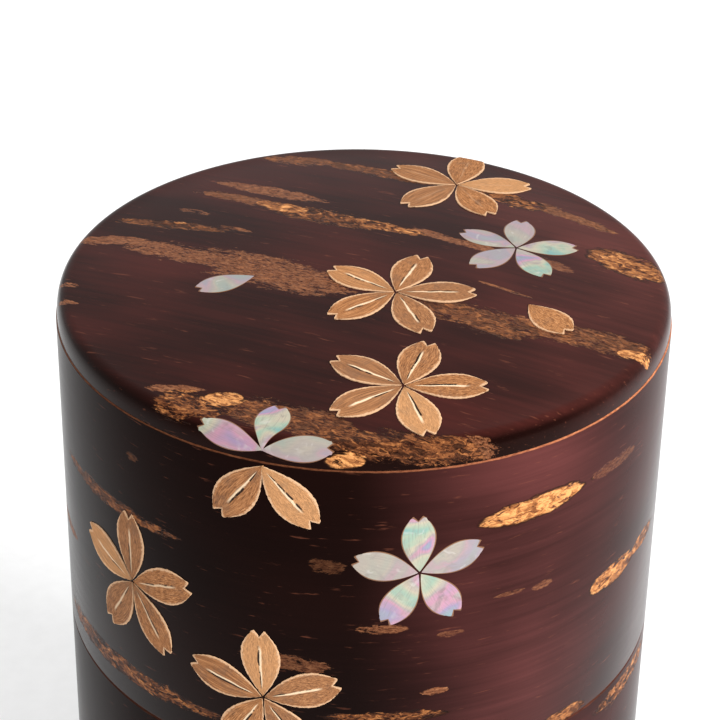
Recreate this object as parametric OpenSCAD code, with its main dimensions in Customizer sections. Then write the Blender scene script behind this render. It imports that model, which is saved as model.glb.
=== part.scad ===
// Round tea caddy faced inside and out in polished cherry bark.
// A tall lid slides down over an inner sleeve, and an inner lid with a knob
// closes the sleeve. Cherry blossoms in rough bark and in mother-of-pearl are
// let into the polished bark of the lid and the body.
// Millimetres, +Z up, origin on the floor at the centre of the base, front at -Y.

/* [Overall] */

// Outside diameter of the caddy
case_d = 80; // [76:1:86]
// Height of the body, floor to the seam under the lid
body_h = 68; // [64:1:76]
// Height of the lid's straight side, seam to rim line
lid_h = 45; // [43:1:50]

/* [Crown of the lid] */

// Height of the steep shoulder above the rim line
shoulder_h = 3.6; // [3:0.1:4.5]
// Width the shoulder takes up, measured inwards
shoulder_w = 1.5; // [1.2:0.1:2.5]
// Rise of the nearly flat cap above the shoulder
crown_h = 1.2; // [0.8:0.1:2]

/* [Wall] */

// Thickness of the outer bark facing
bark_t = 0.7; // [0.6:0.1:1]
// Thickness of the bark linings inside
lining_t = 0.5; // [0.4:0.1:0.7]
// Outside radius of the sleeve neck that the lid slides on
neck_r = 36.92; // [36.6:0.01:36.92]
// Radial running clearance between the neck and the lid lining
slide_gap = 0.08; // [0.05:0.01:0.1]
// Thickness of the sleeve's wooden wall
sleeve_t = 1.56; // [1.2:0.02:1.8]
// How far the sleeve stands up above the body's seam
neck_rise = 24; // [18:1:26]
// Soft bevel on each side of the seam and at the foot
edge_bevel = 0.35; // [0.2:0.05:0.5]
// Space left for glue between two glued layers
glue_gap = 0.03; // [0.02:0.01:0.03]

/* [Base] */

// Thickness of the wooden base board
base_t = 2.7; // [2.4:0.1:3.2]
// How far the base bark is set up from the floor
base_recess = 0.4; // [0.3:0.1:0.6]

/* [Inner lid] */

// Thickness of the inner lid's flange board
flange_t = 2.2; // [2:0.1:2.6]
// Depth of the plug that drops into the sleeve
plug_h = 4; // [3:0.5:5]
// Radius of the knob
knob_r = 5.5; // [5:0.5:7]
// Height of the knob above the inner lid
knob_h = 7; // [6:0.5:7]

/* [Inlays] */

// Length of a rough bark petal
bark_petal_l = 10.2; // [9:0.1:11]
// Width of a rough bark petal
bark_petal_w = 4.7; // [4:0.1:5]
// Length of a mother-of-pearl petal
pearl_petal_l = 8; // [7:0.1:9]
// Width of a mother-of-pearl petal
pearl_petal_w = 3.9; // [3.4:0.1:4.2]
// Depth of the pockets cut for the petals
pocket_d = 0.35; // [0.3:0.05:0.4]
// How far the rough bark petals stand proud
petal_proud = 0.2; // [0.1:0.05:0.3]

/* [Hidden] */

$fn = 96;

case_r = case_d / 2;
rim_z = body_h + lid_h;
bark_in_r = case_r - bark_t;
core_out_r = bark_in_r - glue_gap;
lid_lining_r = neck_r + slide_gap;
lid_core_in_r = lid_lining_r + lining_t + glue_gap;
body_core_in_r = neck_r + glue_gap;
sleeve_out_r = neck_r - lining_t - glue_gap;
sleeve_in_r = sleeve_out_r - sleeve_t;
tea_r = sleeve_in_r - glue_gap - lining_t;
neck_z = body_h + neck_rise;
base_z = base_recess + lining_t + glue_gap;
floor_z = base_z + base_t + glue_gap;
ceiling_z = rim_z - 3;
board_z = ceiling_z + lining_t + glue_gap;
board_step_z = rim_z - 0.9;
top_bark_z = board_step_z + glue_gap;
plug_r = tea_r - slide_gap;
flange_r = neck_r - 0.35;
flange_z = neck_z;
facing_z = flange_z + flange_t + glue_gap;
knob_z = facing_z + lining_t + glue_gap;
dowel_r = 1.6;

// The cut edge of the side bark shows as the rim line, so the crown starts inside it.
crown_r = bark_in_r;
cap_r = crown_r - shoulder_w;

// Each flower on the crown: [x, y, direction of its first petal]
crown_bark_a = [4, -5.7, 75];
crown_bark_b = [4.9, -27.3, 72];
crown_bark_c = [12.6, 26.4, 79];
crown_pearl_d = [20, 7.6, 79];
// The back flower bends over the shoulder, so its petals are shorter in plan.
back_petal_l = 9.9;
// Loose petals on the crown: [x of its base, y of its base, direction]
loose_pearl = [-14, -1.6, 205];
loose_bark = [20.6, -7.2, 308];
loose_bark_l = 0.8 * bark_petal_l;
// The flower split by the rim: pearl petals climb the shoulder from a point just
// above the rim line, bark petals hang on the side wall just below it.
rim_flower_az = -17;
rim_pearl_rise = 1.2;
rim_pearl_dirs = [166, 90, 14];
rim_pearl_l = 8.4;
rim_bark_z = -0.6;
rim_bark_dirs = [-45, -129];
rim_bark_l = 9.3;
// A flat drawing laid on the shoulder at 45 degrees covers wall and cap alike.
rim_tilt = 45;
rim_squash = cos(rim_tilt);
rim_bend = sin(rim_tilt) / (2 * crown_r);
// Each flower on a wall: [azimuth from the front, height, direction of its first petal]
side_bark_e = [-45.4, rim_z - 25, 20];
side_bark_f = [-17, rim_z - 35, 21];
side_pearl_g = [10.4, rim_z - 14.8, 21];
body_bark_h = [24, 36, 15];
body_pearl_j = [-36, 22, 30];
body_loose = [2, 17, 250];

// ---- shared shapes -------------------------------------------------------

module tube(outer, inner, low, high) {
    translate([0, 0, low])
        difference() {
            cylinder(r = outer, h = high - low);
            translate([0, 0, -1])
                cylinder(r = inner, h = high - low + 2);
        }
}

module disc(radius, low, high) {
    translate([0, 0, low])
        cylinder(r = radius, h = high - low);
}

// A tube whose outer corners are taken off by the bevels given for its two ends.
module bevelled_tube(outer, inner, low, high, bevel_low, bevel_high) {
    rotate_extrude()
        polygon([
            [inner, low],
            [outer - bevel_low, low],
            [outer, low + bevel_low],
            [outer, high - bevel_high],
            [outer - bevel_high, high],
            [inner, high]
        ]);
}

// Outline of one cherry petal pointing along +X, notched at the tip.
function petal_half(t, width) = width / 2 * pow(sin(180 * pow(0.93 * t, 1.23)), 0.85);

function petal_side(first, length, width, sign, steps = 11) = [
    for (i = [1 : steps])
        let (t = i / steps)
        [first + (length - first) * t, sign * petal_half(t, width)]
];

function petal_outline(length, width, grow) =
    let (
        first = 0.6 - grow,
        last = length + grow,
        upper = petal_side(first, last, width + 2 * grow, 1),
        lower = petal_side(first, last, width + 2 * grow, -1),
        notch = 0.11 * length
    )
    concat(
        [[first, 0]],
        lower,
        [[last - notch, 0]],
        [for (i = [len(upper) - 1 : -1 : 0]) upper[i]]
    );

module petals(length, width, grow, directions) {
    for (a = directions)
        rotate([0, 0, a])
            polygon(petal_outline(length, width, grow));
}

// One petal turned to its direction, then pressed and bent to follow the shoulder.
module rim_petal(length, width, grow, a) {
    polygon([
        for (p = petal_outline(length, width, grow))
            let (
                x = p[0] * cos(a) - p[1] * sin(a),
                y = p[0] * sin(a) + p[1] * cos(a)
            )
            [x, rim_squash * y + rim_bend * x * x]
    ]);
}

function five(first) = [for (k = [0 : 4]) first + 72 * k];

// ---- the crown of the lid ------------------------------------------------

// Points of the crown's outer profile moved inwards by a depth, centre last.
function crown_profile(depth) = concat(
    [
        for (t = [90 : -15 : 0])
            let (
                nx = sin(t) / shoulder_w,
                nz = cos(t) / shoulder_h,
                m = sqrt(nx * nx + nz * nz)
            )
            [
                cap_r + shoulder_w * sin(t) - depth * nx / m,
                rim_z + shoulder_h * cos(t) - depth * nz / m
            ]
    ],
    [
        for (i = [9 : -1 : 0])
            let (r = (cap_r - 1) * i / 9)
            [r, rim_z + shoulder_h - depth + crown_h * (1 - pow(r / cap_r, 2))]
    ]
);

module crown_solid(depth, low) {
    edge = crown_profile(depth);
    rotate_extrude()
        polygon(concat([[0, low], [edge[0][0], low]], edge));
}

// The layer of the crown between two depths, for inlays and their pockets.
module crown_layer(outer_depth, inner_depth) {
    difference() {
        crown_solid(outer_depth, rim_z + 0.02);
        crown_solid(inner_depth, rim_z - 1);
    }
}

module crown_inlay(place, length, width, grow, directions, outer_depth, inner_depth) {
    intersection() {
        crown_layer(outer_depth, inner_depth);
        translate([place[0], place[1], rim_z - 1])
            linear_extrude(height = 9)
                petals(length, width, grow, directions);
    }
}

// Pearl petals that climb the shoulder of the crown at the split flower.
module shoulder_inlay(grow, outer_depth, inner_depth) {
    intersection() {
        crown_layer(outer_depth, inner_depth);
        rotate([0, 0, rim_flower_az])
            translate([0, -crown_r, rim_z + rim_pearl_rise])
                rotate([rim_tilt, 0, 0])
                    translate([0, 0, -5])
                        linear_extrude(height = 8)
                            for (a = rim_pearl_dirs)
                                rim_petal(rim_pearl_l, pearl_petal_w, grow, a);
    }
}

// ---- the walls -----------------------------------------------------------

// Stands a flat drawing up against the wall at an azimuth and height.
module on_wall(azimuth, height) {
    rotate([0, 0, azimuth])
        translate([0, 0, height])
            rotate([90, 0, 0])
                translate([0, 0, case_r - 5])
                    linear_extrude(height = 7)
                        children();
}

module wall_inlay(place, length, width, grow, directions, outer_r, inner_r) {
    intersection() {
        tube(outer_r, inner_r, 1, rim_z - 0.02);
        on_wall(place[0], place[1])
            petals(length, width, grow, directions);
    }
}

// Pockets for everything let into the lid's side.
module lid_pockets() {
    bottom = case_r - pocket_d;
    for (f = [side_bark_e, side_bark_f])
        wall_inlay(f, bark_petal_l, bark_petal_w, glue_gap, five(f[2]), case_r + 2, bottom);
    wall_inlay(side_pearl_g, pearl_petal_l, pearl_petal_w, glue_gap, five(side_pearl_g[2]),
        case_r + 2, bottom);
    wall_inlay([rim_flower_az, rim_z + rim_bark_z], rim_bark_l, bark_petal_w, glue_gap,
        rim_bark_dirs, case_r + 2, bottom);
}

module crown_pockets() {
    for (f = [crown_bark_a, crown_bark_b])
        crown_inlay(f, bark_petal_l, bark_petal_w, glue_gap, five(f[2]), -2, pocket_d);
    crown_inlay(crown_bark_c, back_petal_l, bark_petal_w, glue_gap,
        five(crown_bark_c[2]), -2, pocket_d);
    crown_inlay(crown_pearl_d, pearl_petal_l, pearl_petal_w, glue_gap,
        five(crown_pearl_d[2]), -2, pocket_d);
    crown_inlay(loose_pearl, pearl_petal_l, pearl_petal_w, glue_gap, [loose_pearl[2]],
        -2, pocket_d);
    crown_inlay(loose_bark, loose_bark_l, bark_petal_w, glue_gap, [loose_bark[2]],
        -2, pocket_d);
    shoulder_inlay(glue_gap, -2, pocket_d);
}

module body_pockets() {
    bottom = case_r - pocket_d;
    wall_inlay(body_bark_h, bark_petal_l, bark_petal_w, glue_gap, five(body_bark_h[2]),
        case_r + 2, bottom);
    wall_inlay(body_pearl_j, pearl_petal_l, pearl_petal_w, glue_gap, five(body_pearl_j[2]),
        case_r + 2, bottom);
    wall_inlay(body_loose, bark_petal_l, bark_petal_w, glue_gap, [body_loose[2]],
        case_r + 2, bottom);
}

// Rough bark petals on the crown, standing a little proud of it.
module crown_bark_flower(place, directions, length = bark_petal_l) {
    color([0.80, 0.53, 0.33])
        crown_inlay(place, length, bark_petal_w, 0, directions, -petal_proud,
            pocket_d - glue_gap);
}

module crown_pearl_flower(place, directions) {
    color([0.78, 0.83, 0.82])
        crown_inlay(place, pearl_petal_l, pearl_petal_w, 0, directions, glue_gap,
            pocket_d - glue_gap);
}

module wall_bark_flower(place, directions, length = bark_petal_l) {
    color([0.80, 0.53, 0.33])
        wall_inlay(place, length, bark_petal_w, 0, directions, case_r + petal_proud,
            case_r - pocket_d + glue_gap);
}

module wall_pearl_flower(place, directions) {
    color([0.78, 0.83, 0.82])
        wall_inlay(place, pearl_petal_l, pearl_petal_w, 0, directions, case_r,
            case_r - pocket_d + glue_gap);
}

// ---- the body ------------------------------------------------------------

module body_core() {
    color([0.74, 0.60, 0.42])
        tube(core_out_r, body_core_in_r, 0, body_h);
}

module body_bark() {
    color([0.20, 0.11, 0.10])
        difference() {
            bevelled_tube(case_r, bark_in_r, base_recess, body_h, edge_bevel, edge_bevel);
            body_pockets();
        }
}

module sleeve_core() {
    color([0.74, 0.60, 0.42])
        tube(sleeve_out_r, sleeve_in_r, floor_z, neck_z);
}

module neck_bark() {
    color([0.34, 0.17, 0.13])
        bevelled_tube(neck_r, sleeve_out_r + glue_gap, floor_z, neck_z, 0.1, 0.3);
}

module sleeve_lining() {
    color([0.38, 0.19, 0.13])
        tube(tea_r + lining_t, tea_r, floor_z, neck_z);
}

module base_board() {
    color([0.74, 0.60, 0.42])
        disc(neck_r, base_z, base_z + base_t);
}

module base_bark() {
    color([0.24, 0.13, 0.11])
        disc(neck_r, base_recess, base_recess + lining_t);
}

module floor_bark() {
    color([0.38, 0.19, 0.13])
        disc(tea_r - glue_gap, floor_z, floor_z + lining_t);
}

// ---- the lid -------------------------------------------------------------

module lid_core() {
    color([0.74, 0.60, 0.42])
        tube(core_out_r, lid_core_in_r, body_h, board_z - glue_gap);
}

module lid_bark() {
    color([0.20, 0.11, 0.10])
        difference() {
            bevelled_tube(case_r, bark_in_r, body_h, rim_z, edge_bevel, 0.15);
            lid_pockets();
        }
}

module lid_lining() {
    color([0.38, 0.19, 0.13])
        tube(lid_core_in_r - glue_gap, lid_lining_r, body_h + 0.2, ceiling_z + lining_t);
}

module lid_top_board() {
    color([0.74, 0.60, 0.42]) {
        disc(core_out_r, board_z, board_step_z);
        crown_solid(bark_t + glue_gap, board_step_z);
    }
}

module lid_top_bark() {
    color([0.20, 0.11, 0.10])
        difference() {
            crown_solid(glue_gap, top_bark_z);
            crown_solid(bark_t, top_bark_z - 1);
            crown_pockets();
        }
}

module lid_ceiling_bark() {
    color([0.38, 0.19, 0.13])
        disc(lid_lining_r - glue_gap, ceiling_z, ceiling_z + lining_t);
}

// ---- inlays on the lid ---------------------------------------------------

module flower_crown_front() {
    crown_bark_flower(crown_bark_b, five(crown_bark_b[2]));
}

module flower_crown_middle() {
    crown_bark_flower(crown_bark_a, five(crown_bark_a[2]));
}

module flower_crown_back() {
    crown_bark_flower(crown_bark_c, five(crown_bark_c[2]), back_petal_l);
}

module pearl_flower_crown() {
    crown_pearl_flower(crown_pearl_d, five(crown_pearl_d[2]));
}

module pearl_petal_crown() {
    crown_pearl_flower(loose_pearl, [loose_pearl[2]]);
}

module bark_petal_crown() {
    crown_bark_flower(loose_bark, [loose_bark[2]], loose_bark_l);
}

module pearl_petals_rim() {
    color([0.78, 0.83, 0.82])
        shoulder_inlay(0, glue_gap, pocket_d - glue_gap);
}

module bark_petals_rim() {
    wall_bark_flower([rim_flower_az, rim_z + rim_bark_z], rim_bark_dirs, rim_bark_l);
}

module flower_side_left() {
    wall_bark_flower(side_bark_e, five(side_bark_e[2]));
}

module flower_side_low() {
    wall_bark_flower(side_bark_f, five(side_bark_f[2]));
}

module pearl_flower_side() {
    wall_pearl_flower(side_pearl_g, five(side_pearl_g[2]));
}

// ---- inlays on the body --------------------------------------------------

module flower_body() {
    wall_bark_flower(body_bark_h, five(body_bark_h[2]));
}

module pearl_flower_body() {
    wall_pearl_flower(body_pearl_j, five(body_pearl_j[2]));
}

module bark_petal_body() {
    wall_bark_flower(body_loose, [body_loose[2]]);
}

// ---- the inner lid -------------------------------------------------------

module inner_lid_board() {
    color([0.74, 0.60, 0.42])
        difference() {
            union() {
                disc(flange_r - lining_t - glue_gap, flange_z, flange_z + flange_t);
                disc(plug_r, flange_z - plug_h, flange_z);
            }
            disc(dowel_r + glue_gap, flange_z - 1, flange_z + flange_t + 1);
        }
}

module inner_lid_edge() {
    color([0.34, 0.17, 0.13])
        tube(flange_r, flange_r - lining_t, flange_z, flange_z + flange_t);
}

module inner_lid_top_bark() {
    color([0.30, 0.15, 0.12])
        bevelled_tube(flange_r, dowel_r + glue_gap, facing_z, facing_z + lining_t, 0, 0.3);
}

module inner_lid_under_bark() {
    color([0.38, 0.19, 0.13])
        disc(plug_r, flange_z - plug_h - glue_gap - lining_t, flange_z - plug_h - glue_gap);
}

module inner_lid_knob() {
    foot_r = 0.62 * knob_r;
    waist_r = 0.5 * knob_r;
    color([0.24, 0.12, 0.10])
        translate([0, 0, knob_z])
            rotate_extrude()
                polygon([
                    [dowel_r + glue_gap, 0],
                    [foot_r, 0],
                    [foot_r, 0.7],
                    [waist_r, 1.8],
                    [waist_r + 0.2, 2.8],
                    [knob_r - 0.6, 4.2],
                    [knob_r, 5],
                    [knob_r - 0.1, 5.7],
                    [knob_r - 1, 0.2 + 0.9 * knob_h],
                    [knob_r - 2.5, knob_h],
                    [0, knob_h],
                    [0, 4.6],
                    [dowel_r + glue_gap, 4.6]
                ]);
}

module knob_dowel() {
    color([0.80, 0.68, 0.50])
        disc(dowel_r, flange_z - 0.9, knob_z + 4.5);
}

// ---- selection -----------------------------------------------------------

body_core();
body_bark();
sleeve_core();
neck_bark();
sleeve_lining();
base_board();
base_bark();
floor_bark();
lid_core();
lid_bark();
lid_lining();
lid_top_board();
lid_top_bark();
lid_ceiling_bark();
flower_crown_front();
flower_crown_middle();
flower_crown_back();
pearl_flower_crown();
pearl_petal_crown();
bark_petal_crown();
pearl_petals_rim();
bark_petals_rim();
flower_side_left();
flower_side_low();
pearl_flower_side();
flower_body();
pearl_flower_body();
bark_petal_body();
inner_lid_board();
inner_lid_edge();
inner_lid_top_bark();
inner_lid_under_bark();
inner_lid_knob();
knob_dowel();
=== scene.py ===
# %% [markdown]
# # A cherry-bark tea caddy
#
# This lesson dresses a tea caddy whose plain working model is already made. The
# caddy is a pair of thin wooden tubes wrapped in polished cherry bark. Its lid
# slides over an inner sleeve, and cherry blossoms cut from rough bark and from
# mother-of-pearl are let into the polished skin. We load the working model first
# and keep its parts, whose boxes give the measures.

import math

import bmesh
import bpy
import numpy as np
from mathutils import Matrix, Vector


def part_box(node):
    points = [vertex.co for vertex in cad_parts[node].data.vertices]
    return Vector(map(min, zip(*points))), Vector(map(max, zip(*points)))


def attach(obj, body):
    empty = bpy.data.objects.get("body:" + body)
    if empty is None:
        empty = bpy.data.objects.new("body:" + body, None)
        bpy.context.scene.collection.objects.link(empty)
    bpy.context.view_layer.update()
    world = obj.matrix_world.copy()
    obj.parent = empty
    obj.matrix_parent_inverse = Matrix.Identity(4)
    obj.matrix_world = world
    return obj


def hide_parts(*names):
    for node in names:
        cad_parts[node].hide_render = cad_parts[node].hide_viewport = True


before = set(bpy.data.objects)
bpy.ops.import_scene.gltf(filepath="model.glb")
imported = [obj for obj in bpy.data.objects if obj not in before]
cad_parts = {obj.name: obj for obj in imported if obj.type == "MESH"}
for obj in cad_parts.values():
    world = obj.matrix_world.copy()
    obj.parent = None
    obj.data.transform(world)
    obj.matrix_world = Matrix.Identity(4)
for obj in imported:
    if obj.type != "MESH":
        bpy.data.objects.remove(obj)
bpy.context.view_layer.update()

# %% [markdown]
# ## The measures everything hangs on
#
# Every place comes from the box of a working part. A maker would lay a rule on the
# caddy. We ask for the lowest and highest corner of a part and name what we read.
# One millimetre gets a name too, so that later lines read like a drawing.

# %% Read the main measures
MM = 0.001


def top_of(node):
    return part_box(node)[1].z


def foot_of(node):
    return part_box(node)[0].z


def radius_of(node):
    low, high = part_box(node)
    return (high.x - low.x) / 2


case_r = radius_of("lid_bark")
rim_z = top_of("lid_bark")
seam_z = foot_of("lid_bark")
crown_top = top_of("lid_top_bark")
print("radius", round(case_r, 4), "rim", round(rim_z, 4), "seam", round(seam_z, 4))

# %% [markdown]
# ## Small tools for wiring materials
#
# A material in Blender is a web of nodes. Wiring one by hand takes many clicks, and
# the same clicks in a script take many lines. Short helpers keep the later cells
# readable. feed puts a value or a wire into a socket. The next five add a sum, a
# vector sum, a noise, a colour ramp and a soft step. blend mixes two colours,
# flipped turns a mask over, and swung moves a value up and down with a noise. The
# last two make a group of nodes and place one.

# %% Node helpers
def feed(tree, socket, value):
    if isinstance(value, bpy.types.NodeSocket):
        tree.links.new(value, socket)
    else:
        socket.default_value = value


def maths(tree, operation, *values, clamp=False):
    step = tree.nodes.new("ShaderNodeMath")
    step.operation = operation
    step.use_clamp = clamp
    for socket, value in zip(step.inputs, values):
        feed(tree, socket, value)
    return step.outputs[0]


def vectors(tree, operation, *values):
    step = tree.nodes.new("ShaderNodeVectorMath")
    step.operation = operation
    for socket, value in zip(step.inputs, values):
        feed(tree, socket, value)
    return step.outputs["Value" if operation == "LENGTH" else "Vector"]


def noise(tree, place, scale=1.0, detail=4.0, rough=0.55, warp=0.0, out="Fac"):
    step = tree.nodes.new("ShaderNodeTexNoise")
    feed(tree, step.inputs["Vector"], place)
    feed(tree, step.inputs["Scale"], scale)
    feed(tree, step.inputs["Detail"], detail)
    feed(tree, step.inputs["Roughness"], rough)
    feed(tree, step.inputs["Distortion"], warp)
    return step.outputs[out]


def ramp(tree, value, stops):
    step = tree.nodes.new("ShaderNodeValToRGB")
    feed(tree, step.inputs["Fac"], value)
    marks = step.color_ramp.elements
    while len(marks) < len(stops):
        marks.new(0.5)
    for mark, (place, colour) in zip(marks, stops):
        mark.position = place
        mark.color = (*colour, 1.0)
    return step.outputs["Color"]


def smooth(tree, value, low, high):
    step = tree.nodes.new("ShaderNodeMapRange")
    step.interpolation_type = "SMOOTHSTEP"
    feed(tree, step.inputs["Value"], value)
    feed(tree, step.inputs["From Min"], low)
    feed(tree, step.inputs["From Max"], high)
    return step.outputs["Result"]


def blend(tree, amount, first, second):
    step = tree.nodes.new("ShaderNodeMix")
    step.data_type = "RGBA"
    feed(tree, step.inputs["Factor"], amount)
    feed(tree, step.inputs[6], first)
    feed(tree, step.inputs[7], second)
    return step.outputs[2]


def flipped(tree, mask):
    return maths(tree, "SUBTRACT", 1.0, mask)


def swung(tree, field, reach, value):
    return maths(tree, "MULTIPLY_ADD", maths(tree, "SUBTRACT", field, 0.5), reach, value)


def new_group(name, takes, gives):
    tree = bpy.data.node_groups.new(name, "ShaderNodeTree")
    for label, kind, value in takes:
        socket = tree.interface.new_socket(label, in_out="INPUT", socket_type=kind)
        socket.default_value = value
    for label, kind in gives:
        tree.interface.new_socket(label, in_out="OUTPUT", socket_type=kind)
    return (
        tree,
        tree.nodes.new("NodeGroupInput").outputs,
        tree.nodes.new("NodeGroupOutput").inputs,
    )


def use_group(tree, group, **values):
    step = tree.nodes.new("ShaderNodeGroup")
    step.node_tree = group
    for label, value in values.items():
        feed(tree, step.inputs[label.replace("_", " ")], value)
    return step.outputs


FLOAT, VECTOR, COLOUR = "NodeSocketFloat", "NodeSocketVector", "NodeSocketColor"
print("node helpers ready")

# %% [markdown]
# ## Unrolling the wall
#
# Bark is wrapped round the tube as one sheet, and its dashes run round the caddy
# just as they ran round the tree. A pattern drawn straight on X, Y and Z would cut
# through the tube like a block of wood. So this effect unrolls the wall: it gives
# how far round a point is, how high it is, and how far out, all in millimetres. The
# unrolled sheet starts and ends at the back, where the real sheet has its joint.

# %% Group: unrolled wall
unrolled, given, gives = new_group(
    "unrolled wall", [("Position", VECTOR, (0, 0, 0))], [("Sheet", VECTOR)]
)
split = unrolled.nodes.new("ShaderNodeSeparateXYZ")
unrolled.links.new(given["Position"], split.inputs[0])
turn = maths(
    unrolled,
    "ARCTAN2",
    split.outputs["X"],
    maths(unrolled, "MULTIPLY", split.outputs["Y"], -1.0),
)
flat = vectors(unrolled, "MULTIPLY", given["Position"], (1000.0, 1000.0, 0.0))
join = unrolled.nodes.new("ShaderNodeCombineXYZ")
feed(unrolled, join.inputs["X"], maths(unrolled, "MULTIPLY", turn, case_r / MM))
feed(unrolled, join.inputs["Y"], maths(unrolled, "MULTIPLY", split.outputs["Z"], 1000.0))
feed(unrolled, join.inputs["Z"], vectors(unrolled, "LENGTH", flat))
unrolled.links.new(join.outputs[0], gives["Sheet"])
print("group", unrolled.name)

# %% [markdown]
# ## One lenticel
#
# The rough gold-brown dashes in cherry bark are lenticels, the pores the tree
# breathes through. The maker chooses the sheet so that they fall well, so each big
# one is placed by hand here too. The effect measures how deep a point lies inside
# one spindle: 1 on its middle, 0 on its outline, less outside. The sheet's third
# number isn't needed for its pattern, so it carries the deepest value met so far,
# and any number of spindles can be chained in a row.

# %% Group: lenticel
lenticel, given, gives = new_group(
    "lenticel",
    [
        ("Sheet", VECTOR, (0, 0, 0)),
        ("Centre", VECTOR, (0, 0, 0)),
        ("Angle", FLOAT, 0.0),
        ("Half length", FLOAT, 5.0),
        ("Half width", FLOAT, 1.0),
        ("Goldness", FLOAT, 0.5),
        ("Gold so far", FLOAT, 0.0),
    ],
    [("Sheet", VECTOR), ("Gold", FLOAT)],
)
so_far = lenticel.nodes.new("ShaderNodeSeparateXYZ")
lenticel.links.new(given["Sheet"], so_far.inputs[0])
turned_place = lenticel.nodes.new("ShaderNodeVectorRotate")
turned_place.rotation_type = "Z_AXIS"
off_centre = vectors(lenticel, "SUBTRACT", given["Sheet"], given["Centre"])
feed(lenticel, turned_place.inputs["Vector"], off_centre)
feed(lenticel, turned_place.inputs["Angle"], maths(lenticel, "MULTIPLY", given["Angle"], -1.0))
split = lenticel.nodes.new("ShaderNodeSeparateXYZ")
lenticel.links.new(turned_place.outputs[0], split.inputs[0])
along = maths(lenticel, "DIVIDE", split.outputs["X"], given["Half length"])
across = maths(lenticel, "DIVIDE", split.outputs["Y"], given["Half width"])
along = maths(lenticel, "POWER", maths(lenticel, "ABSOLUTE", along), 2.6)
across = maths(lenticel, "POWER", maths(lenticel, "ABSOLUTE", across), 1.5)
depth = maths(lenticel, "SUBTRACT", 1.0, maths(lenticel, "ADD", along, across))
inside = maths(lenticel, "MULTIPLY", maths(lenticel, "ADD", depth, 0.6), 4.0, clamp=True)
gold = maths(lenticel, "MULTIPLY", inside, given["Goldness"])
passed_on = lenticel.nodes.new("ShaderNodeCombineXYZ")
feed(lenticel, passed_on.inputs["X"], so_far.outputs["X"])
feed(lenticel, passed_on.inputs["Y"], so_far.outputs["Y"])
feed(lenticel, passed_on.inputs["Z"], maths(lenticel, "MAXIMUM", depth, so_far.outputs["Z"]))
lenticel.links.new(passed_on.outputs[0], gives["Sheet"])
lenticel.links.new(maths(lenticel, "MAXIMUM", gold, given["Gold so far"]), gives["Gold"])
print("group", lenticel.name)

# %% [markdown]
# ## Strewn lenticels
#
# Away from the show side nobody places each dash, so a cell pattern strews them. The
# sheet is squeezed along its grain, cut into cells, and a random share of the cells
# keeps one long spindle each.

# %% Group: strewn lenticels
strewn, given, gives = new_group(
    "strewn lenticels",
    [("Sheet", VECTOR, (0, 0, 0)), ("Share kept", FLOAT, 0.3)],
    [("Depth", FLOAT), ("Gold", FLOAT)],
)
cells = strewn.nodes.new("ShaderNodeTexVoronoi")
cells.voronoi_dimensions = "2D"
cells.inputs["Scale"].default_value = 1.0
cells.inputs["Randomness"].default_value = 0.85
feed(strewn, cells.inputs["Vector"], vectors(strewn, "MULTIPLY", given["Sheet"], (0.04, 0.15, 1.0)))
luck = strewn.nodes.new("ShaderNodeSeparateColor")
strewn.links.new(cells.outputs["Color"], luck.inputs[0])
kept = maths(strewn, "LESS_THAN", luck.outputs[0], given["Share kept"])
size = maths(strewn, "MULTIPLY_ADD", luck.outputs[1], 0.2, 0.1)
depth = maths(strewn, "SUBTRACT", 1.0, maths(strewn, "DIVIDE", cells.outputs["Distance"], size))
depth = maths(strewn, "MAXIMUM", depth, -2.0)
missing = maths(strewn, "MULTIPLY", maths(strewn, "SUBTRACT", 1.0, kept), -3.0)
strewn.links.new(maths(strewn, "ADD", depth, missing), gives["Depth"])
strewn.links.new(maths(strewn, "MULTIPLY", luck.outputs[2], kept), gives["Gold"])
print("group", strewn.name)

# %% [markdown]
# ## Polished bark
#
# Polished cherry bark is a deep wine brown with fine streaks along the grain and
# faint reddish dashes. Where a lenticel was cut through, cork and wood fibre show as
# ragged gold and rust burl with dark pits. The effect takes the unrolled sheet and
# the lenticel depth, frays the outline with noise, and gives colour, roughness and
# height. Being a group, it serves the lid, the body, the neck and the linings, each
# with its own colours.

# %% Group: bark skin
bark_skin, given, gives = new_group(
    "bark skin",
    [
        ("Sheet", VECTOR, (0, 0, 0)),
        ("Depth", FLOAT, -2.0),
        ("Gold", FLOAT, 0.0),
        ("Dark", COLOUR, (0.0070, 0.0028, 0.0024, 1)),
        ("Warm", COLOUR, (0.034, 0.0070, 0.0058, 1)),
        ("Gloss roughness", FLOAT, 0.22),
        ("Dashes", FLOAT, 0.35),
    ],
    [("Colour", COLOUR), ("Roughness", FLOAT), ("Height", FLOAT), ("Lenticel", FLOAT)],
)
sheet = given["Sheet"]
streak = noise(bark_skin, vectors(bark_skin, "MULTIPLY", sheet, (0.035, 1.1, 1.1)), 1.0, 7.0, 0.62)
cloud = noise(bark_skin, vectors(bark_skin, "MULTIPLY", sheet, (0.035, 0.07, 0.07)), 1.0, 2.0, 0.5)
warmth = swung(bark_skin, streak, 1.1, smooth(bark_skin, cloud, 0.3, 0.75))
warmth = maths(bark_skin, "MULTIPLY", warmth, 1.0, clamp=True)
base = blend(bark_skin, warmth, given["Dark"], given["Warm"])
dash_field = noise(bark_skin, vectors(bark_skin, "MULTIPLY", sheet, (0.22, 1.7, 1.7)), 1.0, 3.0, 0.6, 0.3)
dash = maths(bark_skin, "MULTIPLY", smooth(bark_skin, dash_field, 0.63, 0.76), given["Dashes"])
base = blend(bark_skin, dash, base, (0.20, 0.062, 0.034, 1))

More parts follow.
